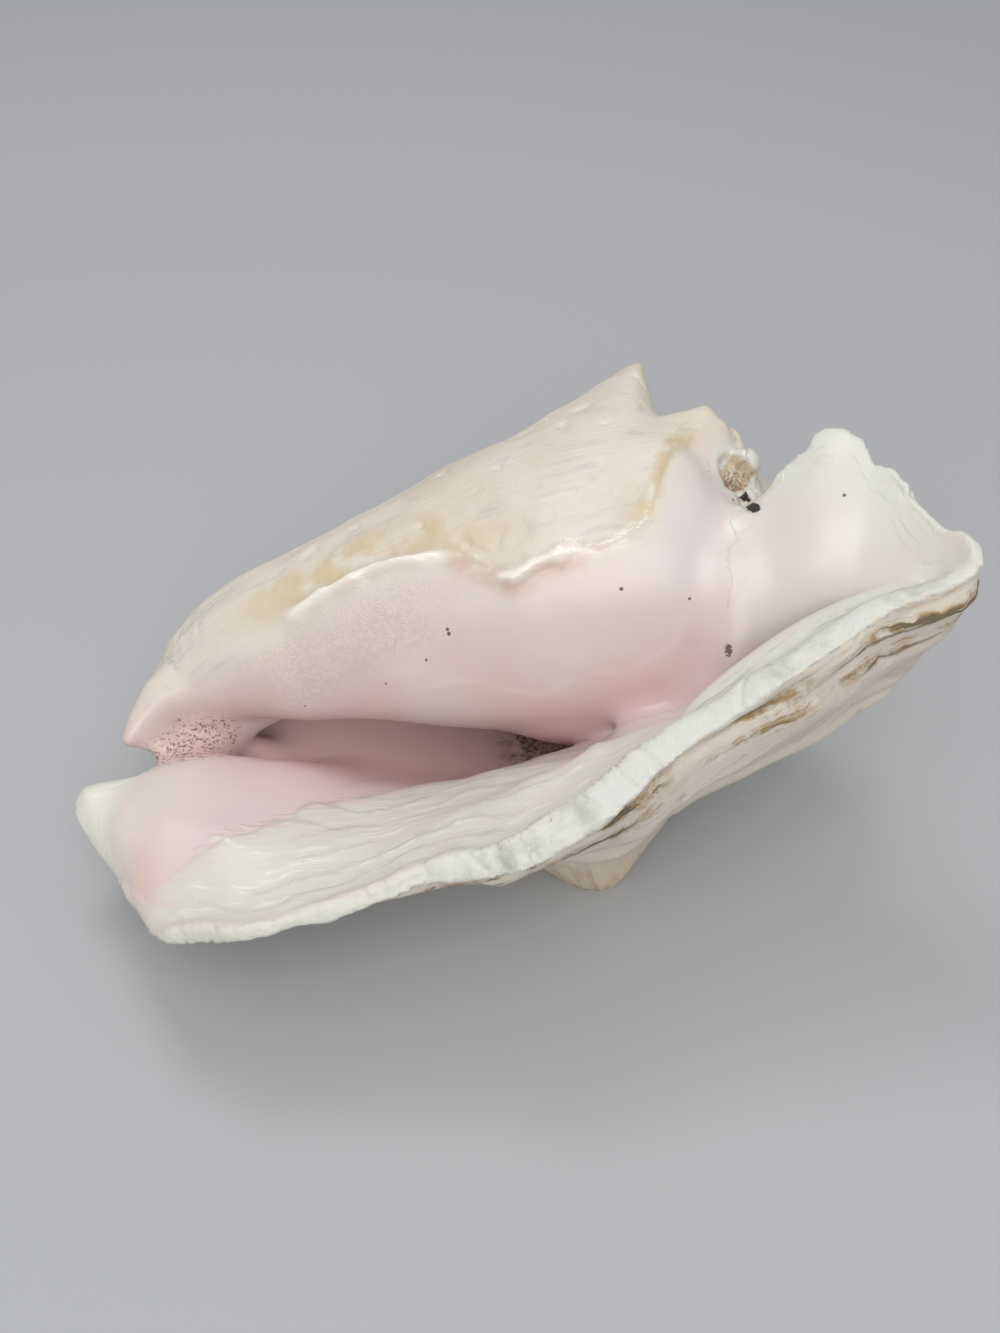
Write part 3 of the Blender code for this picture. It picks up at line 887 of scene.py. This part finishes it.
def grown_shell():
    """The whole shell as one mesh, with what its surface says of itself stored on it."""
    faces = []
    pieces = [older_whorls(faces), last_whorl(faces), pillar(faces)]
    pieces += [filling(name, table) for name, table in FILLINGS.items()]
    body = pieces[0]
    with bpy.context.temp_override(active_object=body, selected_editable_objects=pieces):
        bpy.ops.object.join()
    body.name = body.data.name = "shell"
    applied(body, "REMESH", mode="VOXEL", voxel_size=VOXEL)
    applied(body, "SMOOTH", factor=0.5, iterations=1)
    for row in SOFTENED:
        soften(body, *row)
    chart = Chart(faces)
    at = chart.at(places_of(body))
    zone = zones(at)
    slot = fall(zone["slot"], 2, 1.2)
    carved = at.place + triples(body.data.vertex_normals, "vector") * relief(at, zone)[:, None]
    carved += (HOLLOW_DEPTH * zone["hollow"] + SLOT_DEPTH * slot)[:, None] * HOLLOW_WAY
    body.data.vertices.foreach_set("co", carved.astype(np.float32).ravel())
    body.data.update()
    body.data.calc_loop_triangles()
    applied(body, "DECIMATE", ratio=min(1, TRIANGLES / len(body.data.loop_triangles)))
    drop_crumbs(body)
    at = chart.at(places_of(body))
    store(body, blurred(body, at.place, zones(at)) | {"run": at.run, "across": at.across, "edge": at.edge})
    body.data.transform(lying_frame())
    wear_flat(body)
    body.data.shade_smooth()
    return body


def specks_on(body):
    """Where the specks lie: each is moved to the nearest corner of the finished surface."""
    corners = places_of(body)
    found = []
    for *place, radius in SPECKS:
        wanted = np.array(lying_frame() @ Vector(place))
        nearest = corners[np.argmin(distance_to(corners, wanted))]
        found.append((tuple(nearest.tolist()), radius))
    return found


def soften(body, name, line, reach, fade, iterations):
    """Smooths the surface within reach of a line, less and less over the last stretch of it."""
    weights = fall(distance_to_line(places_of(body), line), reach, fade)
    group = body.vertex_groups.new(name="soft " + name)
    for index in np.nonzero(weights > 0.01)[0].tolist():
        group.add([index], float(weights[index]), "REPLACE")
    applied(body, "SMOOTH", factor=0.7, iterations=iterations, vertex_group=group.name)


def store(body, fields):
    for name, values in fields.items():
        attribute = body.data.attributes.new(name, "FLOAT", "POINT")
        attribute.data.foreach_set("value", np.asarray(values, np.float32))


# Colours, as they would be written in sRGB
CREAM = (226, 219, 205)
CREAM_WARM = (219, 207, 188)
CHALK_GREY = (200, 196, 187)
YELLOW = (213, 193, 161)
ORANGE = (213, 184, 168)
PINK = (221, 197, 192)
PINK_LIGHT = (222, 206, 202)
ROSE = (222, 180, 178)
PALE = (219, 209, 208)
FROST = (210, 195, 184)
# A painted highlight, laid along the crest of the callus's rim
CREST_HIGHLIGHT = (252, 246, 234)
SKIN = (218, 190, 182)
INSIDE = (250, 216, 209)
THROAT = (226, 204, 207)
LAYER = (219, 218, 208)
LAYER_PINK = (220, 216, 206)
FLAKE = (236, 234, 226)
SALMON = (226, 190, 182)
WING = (220, 217, 206)
WING_PINK = (221, 213, 204)
LOBE = (230, 217, 211)
LOBE_EDGE = (226, 225, 214)
RIM_BLUE = (217, 219, 212)
RIM_CRACK = (190, 191, 183)
OCHRE = (172, 142, 98)
DARK = (110, 94, 72)
GREY_PINK = (216, 206, 193)
KNOB = (228, 208, 178)
KNOB_LINE = (182, 160, 130)
MILDEW = (66, 48, 44)
# Painted shade for the gap below the broken spire
GAP_SHADE = (42, 34, 32)
SOIL = (160, 122, 102)
SAND = (208, 190, 164)
BROKEN = (220, 219, 210)
SAND_DARK = (138, 114, 92)

# How dull each finish is, from 0 to 1, and what the shell is like all over
CHALK_ROUGHNESS = 0.72
GLAZE_ROUGHNESS = 0.33
LAYER_ROUGHNESS = 0.45
RIM_ROUGHNESS = 0.6
CREST_ROUGHNESS = 0.1
DIRT_ROUGHNESS = 0.85
BUMP_STRENGTH = 0.6
BUMP_HEIGHT = 0.0004
SHELL_SETTINGS = {
    "IOR": 1.6, "Subsurface Weight": 0.1, "Subsurface Radius": (1, 0.55, 0.4), "Subsurface Scale": 0.003,
}


def linear(colour):
    channels = [c / 255 for c in colour]
    return (*[c / 12.92 if c <= 0.04045 else ((c + 0.055) / 1.055) ** 2.4 for c in channels], 1)


def new_material(name):
    material = bpy.data.materials.new(name)
    material.use_nodes = True
    return material, material.node_tree.nodes["Principled BSDF"]


class Nodes:
    """Short ways to add shader nodes to one material.

    Each method gives back the new node's output. A value is a number, an output, or the name of a
    field that is stored on the mesh.
    """

    def __init__(self, material):
        self.tree = material.node_tree
        self.coordinates = self.add("TexCoord").outputs["Object"]

    def add(self, kind, **settings):
        node = self.tree.nodes.new("ShaderNode" + kind)
        for key, value in settings.items():
            setattr(node, key, value)
        return node

    def feed(self, socket, value):
        if isinstance(value, str):
            value = self.add("Attribute", attribute_name=value).outputs["Fac"]
        if isinstance(value, bpy.types.NodeSocket):
            self.tree.links.new(value, socket)
        else:
            socket.default_value = value

    def maths(self, operation, value, *others):
        """One operation on two values, then on its result and the next value, and so on."""
        for other in others:
            node = self.add("Math", operation=operation)
            self.feed(node.inputs[0], value)
            self.feed(node.inputs[1], other)
            value = node.outputs[0]
        return value

    times = partialmethod(maths, "MULTIPLY")
    plus = partialmethod(maths, "ADD")
    most = partialmethod(maths, "MAXIMUM")

    def less(self, value):
        """One minus a value."""
        return self.maths("SUBTRACT", 1, value)

    def step(self, value, low, high):
        """0 below low and 1 above high, smooth between them."""
        node = self.add("MapRange", interpolation_type="SMOOTHSTEP")
        self.feed(node.inputs["Value"], value)
        node.inputs["From Min"].default_value = low
        node.inputs["From Max"].default_value = high
        return node.outputs["Result"]

    def below(self, value, low, high):
        """1 below low and 0 above high, smooth between them."""
        return self.step(self.times(value, -1), -high, -low)

    def noise(self, size, vector=None, detail=2, roughness=0.5):
        """Noise from 0 to 1 with lumps of a size in millimetres, or in the units of the vector."""
        node = self.add("TexNoise")
        self.feed(node.inputs["Vector"], vector or self.coordinates)
        node.inputs["Scale"].default_value = 1 / (size if vector else size * MM)
        node.inputs["Detail"].default_value = detail
        node.inputs["Roughness"].default_value = roughness
        return node.outputs["Fac"]

    def patches(self, size, low, high, **settings):
        return self.step(self.noise(size, **settings), low, high)

    def flat_map(self, first, size, second, length, third=0):
        """A vector of two distances, each told in lumps of its own size."""
        node = self.add("CombineXYZ")
        values = (self.times(first, 1 / size), self.times(second, 1 / length), third)
        for socket, value in zip(node.inputs, values):
            self.feed(socket, value)
        return node.outputs[0]

    def lines(self, first, size, second, length, **settings):
        """Noise whose lumps are of one size along one distance and of another along the other."""
        return self.noise(1, self.flat_map(first, size, second, length), **settings)

    def speck(self, place, radius):
        """1 within a small, slightly ragged spot and 0 outside it. The radius is in millimetres."""
        node = self.add("VectorMath", operation="DISTANCE")
        self.feed(node.inputs[0], self.coordinates)
        node.inputs[1].default_value = place
        ragged = self.shaken(self.times(node.outputs["Value"], 1 / MM), radius, 0.7)
        return self.below(ragged, 0.85 * radius, 1.15 * radius)

    def shaken(self, value, amount, size=1, vector=None):
        """A distance with noise added, so that what it bounds has a ragged edge."""
        wander = self.maths("SUBTRACT", self.noise(size, vector, detail=3), 0.5)
        return self.plus(value, self.times(wander, amount))

    def mix(self, factor, first, second):
        """A colour between two colours."""
        node = self.add("Mix", data_type="RGBA")
        self.feed(node.inputs[0], factor)
        self.feed(node.inputs[6], linear(first) if isinstance(first, tuple) else first)
        self.feed(node.inputs[7], linear(second) if isinstance(second, tuple) else second)
        return node.outputs[2]

    def coats(self, colour, *coats):
        """A colour with others laid over it in turn, each as much as the product of its amounts."""
        for top, *amounts in coats:
            colour = self.mix(self.times(*amounts), colour, top)
        return colour

    def blend(self, factor, first, second):
        """A number between two numbers."""
        node = self.add("Mix", data_type="FLOAT")
        for socket, value in zip((node.inputs[0], node.inputs[2], node.inputs[3]), (factor, first, second)):
            self.feed(socket, value)
        return node.outputs[0]


def shell_material(specks):
    material, surface = new_material("conch")
    nodes = Nodes(material)
    flaky = nodes.flat_map("edge", 2.2, "across", 14, nodes.noise(12))
    flakes = nodes.noise(1, flaky, detail=3, roughness=0.6)
    grain = nodes.noise(0.5)
    ragged = nodes.shaken("callus", 3.5, 5)
    glaze = nodes.step(ragged, -1.5, 1.5)
    blush = nodes.step(ragged, -2, 13)
    layered = nodes.step(nodes.shaken("layer", 9, vector=flaky), -0.8, 0.8)
    layered = nodes.times(layered, "inner", nodes.less("wing"))
    whitened = nodes.times(layered, nodes.step(nodes.shaken("layer", 16, vector=flaky), -4, 9))

    colour = nodes.coats(
        outside(nodes),
        (callus_colour(nodes), blush),
        (ORANGE, "orange", nodes.patches(9, 0.3, 0.6)),
        (YELLOW, "shoulder", nodes.patches(6, 0.3, 0.6)),
        # The painted highlight along the callus's crest
        (CREST_HIGHLIGHT, "crest", 0.9),
        (inner_colour(nodes, whitened, flakes), "inner"),
        (SKIN, "skin"),
    )
    colour, dirt = dirt_on(nodes, rim_and_lip(nodes, colour), specks)
    nodes.feed(surface.inputs["Base Color"], colour)

    smooth = nodes.most(glaze, "inner")
    crest = nodes.times(nodes.step("callus", -7, -1), nodes.below("callus", 1, 4), nodes.less("inner"))
    shine = nodes.blend(smooth, CHALK_ROUGHNESS, GLAZE_ROUGHNESS)
    for amount, roughness in (
        (layered, LAYER_ROUGHNESS), ("rim", RIM_ROUGHNESS),
        (crest, CREST_ROUGHNESS), (dirt, DIRT_ROUGHNESS),
    ):
        shine = nodes.blend(amount, shine, roughness)
    nodes.feed(surface.inputs["Roughness"], shine)
    for name, value in SHELL_SETTINGS.items():
        surface.inputs[name].default_value = value

    fine = nodes.lines("run", 1.1, "across", 14, detail=3)
    bump = nodes.add("Bump")
    bump.inputs["Strength"].default_value = BUMP_STRENGTH
    bump.inputs["Distance"].default_value = BUMP_HEIGHT
    nodes.feed(bump.inputs["Height"], nodes.plus(
        nodes.times(nodes.less(smooth), nodes.plus(fine, nodes.times(grain, 0.6))),
        nodes.times(layered, flakes),
        nodes.times("rim", nodes.noise(1.4, detail=4), 1.2),
        nodes.times("frost", grain, 0.9),
    ))
    nodes.feed(surface.inputs["Normal"], bump.outputs["Normal"])
    return material


def outside(nodes):
    """The worn outside: chalky cream with growth lines, grey patches and yellow beside the callus."""
    lines = nodes.step(nodes.lines("run", 2.6, "across", 40, detail=4), 0.5, 0.72)
    return nodes.coats(
        nodes.mix(nodes.patches(26, 0.4, 0.7, detail=3), CREAM, CREAM_WARM),
        (CHALK_GREY, lines, nodes.patches(14, 0.38, 0.6), 0.7),
        (CHALK_GREY, nodes.patches(7, 0.58, 0.72, detail=4, roughness=0.6), 0.5),
        (YELLOW, "yellow", nodes.patches(8, 0.3, 0.62, detail=3)),
        (RIM_CRACK, nodes.patches(0.8, 0.7, 0.76, detail=1), 0.35),
    )


def callus_colour(nodes):
    """The glaze beside the aperture: shell pink, rosier towards the aperture, paler towards the spire."""
    return nodes.coats(
        nodes.mix(nodes.patches(22, 0.35, 0.65), PINK, PINK_LIGHT),
        (PALE, "pale"),
        (ROSE, "rose"),
        (FROST, "frost", nodes.patches(1.3, 0.4, 0.62, detail=3, roughness=0.7), 0.8),
    )


def inner_colour(nodes, layered, flakes):
    """The throat, the chalky layers of the lip, the wing and the lobe."""
    layers = nodes.coats(
        nodes.mix(nodes.patches(9, 0.4, 0.65), LAYER, LAYER_PINK),
        (FLAKE, nodes.step(flakes, 0.6, 0.68), 0.8),
        (CHALK_GREY, nodes.below(flakes, 0.3, 0.4), 0.35),
    )
    return nodes.coats(
        nodes.mix("inside", THROAT, INSIDE),
        (nodes.mix(nodes.below("edge", 3, 16), LOBE, LOBE_EDGE), "lobe"),
        (SALMON, "salmon"),
        (layers, layered),
        (nodes.mix(nodes.patches(16, 0.4, 0.65), WING, WING_PINK), "wing"),
    )


def rim_and_lip(nodes, colour):
    """The broken edge of the lip, and the stained layers on the outer side below it."""
    wavy = nodes.shaken(nodes.shaken("edge", 9, 22), 2.5, 5)
    veins = nodes.lines(wavy, 3, "across", 30, detail=5, roughness=0.65)
    streak = nodes.times("streak", nodes.step(nodes.lines(0, 1, "across", 14), 0.32, 0.5))
    dusty = nodes.patches(4, 0.35, 0.6, detail=4, roughness=0.7)
    grooves = nodes.lines("across", 1.6, "edge", 18, detail=3)
    cracks = nodes.noise(1, nodes.flat_map("edge", 1, "across", 10, nodes.noise(2)), detail=4)
    bluish = nodes.mix(nodes.step(cracks, 0.52, 0.7), RIM_BLUE, RIM_CRACK)
    return nodes.coats(
        colour,
        (GREY_PINK, "lip"),
        (OCHRE, streak, nodes.step(veins, 0.43, 0.54), dusty),
        (DARK, streak, nodes.step(veins, 0.53, 0.62)),
        (KNOB, "knob", 0.8),
        (KNOB_LINE, "knob", nodes.step(grooves, 0.5, 0.66), 0.5),
        (nodes.mix("lobe", LAYER, LOBE_EDGE), "rim"),
        (bluish, "blue", nodes.patches(5, 0.25, 0.55, detail=3)),
    )


def dirt_on(nodes, colour, specks):
    """Mildew in the canal and the back corner of the aperture, sand in the broken spire, painted shade in
    the gap below it, and a stain.
    """
    speckle = nodes.noise(0.9, detail=4, roughness=0.75)
    clumps = nodes.noise(3.2, detail=3, roughness=0.6)
    sparse = nodes.times("canal", nodes.step(clumps, 0.38, 0.52), nodes.step(speckle, 0.51, 0.58))
    soiled = nodes.times("corner", nodes.patches(6, 0.3, 0.5, detail=3))
    dense = nodes.times(soiled, nodes.step(nodes.plus(speckle, nodes.times(clumps, 0.5)), 0.7, 0.82))
    gap = nodes.shaken(nodes.times("slot", -1), 0.9, 1)
    grains = nodes.times(nodes.noise(0.6, detail=3, roughness=0.7), 14)
    sand = nodes.mix(nodes.step(nodes.plus(gap, grains), 0.5, 3), SAND, SAND_DARK)
    crack = nodes.step(nodes.shaken(nodes.times("crack", -1), 0.5, 1.5), -0.35, -0.15)
    blot = nodes.times("stain", nodes.noise(0.5, detail=3, roughness=0.7))
    spots = [nodes.speck(place, radius) for place, radius in specks]
    dark = nodes.times(nodes.most(sparse, dense, nodes.step(blot, 0.26, 0.32), *spots), 0.85)
    return nodes.coats(
        colour,
        (SOIL, soiled, 0.45),
        (BROKEN, "broken"),
        (sand, nodes.step(nodes.shaken("hollow", 0.5, 1.2), 0.25, 0.8)),
        (SAND_DARK, crack, nodes.patches(2.5, 0.4, 0.5), 0.7),
        # The gap's shade, painted near black
        (GAP_SHADE, nodes.step(gap, -1.2, -0.95)),
        (MILDEW, dark),
    ), dark


# The camera, from the middle of the shell's box
CAMERA_AIM = (0.0024, -0.0065, 0)
CAMERA_DISTANCE = 0.3857
CAMERA_AZIMUTH = -5.46
CAMERA_ELEVATION = 41.97
CAMERA_ANGLE = 45

# The studio: the floor, the lamps with their place from the middle of the box, size and power, and
# the even light all round
FLOOR_COLOUR = (182, 184, 187)
FLOOR_ROUGHNESS = 0.9
FLOOR_HALF = 6
LAMPS = {
    "wide": ((-0.1, -0.15, 1.2), 0.9, 1.8),
    "small": ((-0.15, 0.4, 1.05), 0.35, 2.4),
    "front": ((-0.1, -0.8, 0.8), 0.8, 6.5),
}
WORLD_COLOUR = (1, 1, 1, 1)
WORLD_STRENGTH = 0.42


def looking(place, aim):
    return (Vector(aim) - Vector(place)).to_track_quat("-Z", "Y").to_euler()


def camera(middle):
    azimuth, elevation = math.radians(CAMERA_AZIMUTH), math.radians(CAMERA_ELEVATION)
    flat = math.cos(elevation)
    away = Vector((math.sin(azimuth) * flat, -math.cos(azimuth) * flat, math.sin(elevation)))
    data = bpy.data.cameras.new("camera")
    data.sensor_fit = "VERTICAL"
    data.angle = math.radians(CAMERA_ANGLE)
    seen = placed("camera", data)
    aim = middle + Vector(CAMERA_AIM)
    seen.location = aim + away * CAMERA_DISTANCE
    seen.rotation_euler = looking(seen.location, aim)
    bpy.context.scene.camera = seen


def lamp(name, place, aim, size, power):
    data = bpy.data.lights.new(name, "AREA")
    data.shape = "SQUARE"
    data.size = size
    data.energy = power
    light = placed(name, data)
    light.location = place
    light.rotation_euler = looking(place, aim)


def studio(middle):
    """A plain pale floor, a wide soft lamp above, a smaller one behind, one in front and an even world."""
    floor_mesh = bpy.data.meshes.new("floor")
    corners = [(x * FLOOR_HALF, y * FLOOR_HALF, 0) for x, y in ((-1, -1), (1, -1), (1, 1), (-1, 1))]
    floor_mesh.from_pydata(corners, [], [(0, 1, 2, 3)])
    material, surface = new_material("floor")
    surface.inputs["Base Color"].default_value = linear(FLOOR_COLOUR)
    surface.inputs["Roughness"].default_value = FLOOR_ROUGHNESS
    floor_mesh.materials.append(material)
    floor = placed("floor", floor_mesh)
    for name, (place, size, power) in LAMPS.items():
        lamp(name, middle + Vector(place), middle, size, power)
    world = bpy.data.worlds.new("world")
    world.use_nodes = True
    backdrop = world.node_tree.nodes["Background"]
    backdrop.inputs["Color"].default_value = WORLD_COLOUR
    backdrop.inputs["Strength"].default_value = WORLD_STRENGTH
    bpy.context.scene.world = world


def main():
    bpy.context.scene.view_settings.view_transform = "Standard"
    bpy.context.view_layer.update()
    low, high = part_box(NODE)
    middle = (low + high) / 2
    camera(middle)
    studio(middle)
    shell = grown_shell()
    shell.data.materials.clear()
    shell.data.materials.append(shell_material(specks_on(shell)))
    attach(shell, "root")
    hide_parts(NODE)


main()
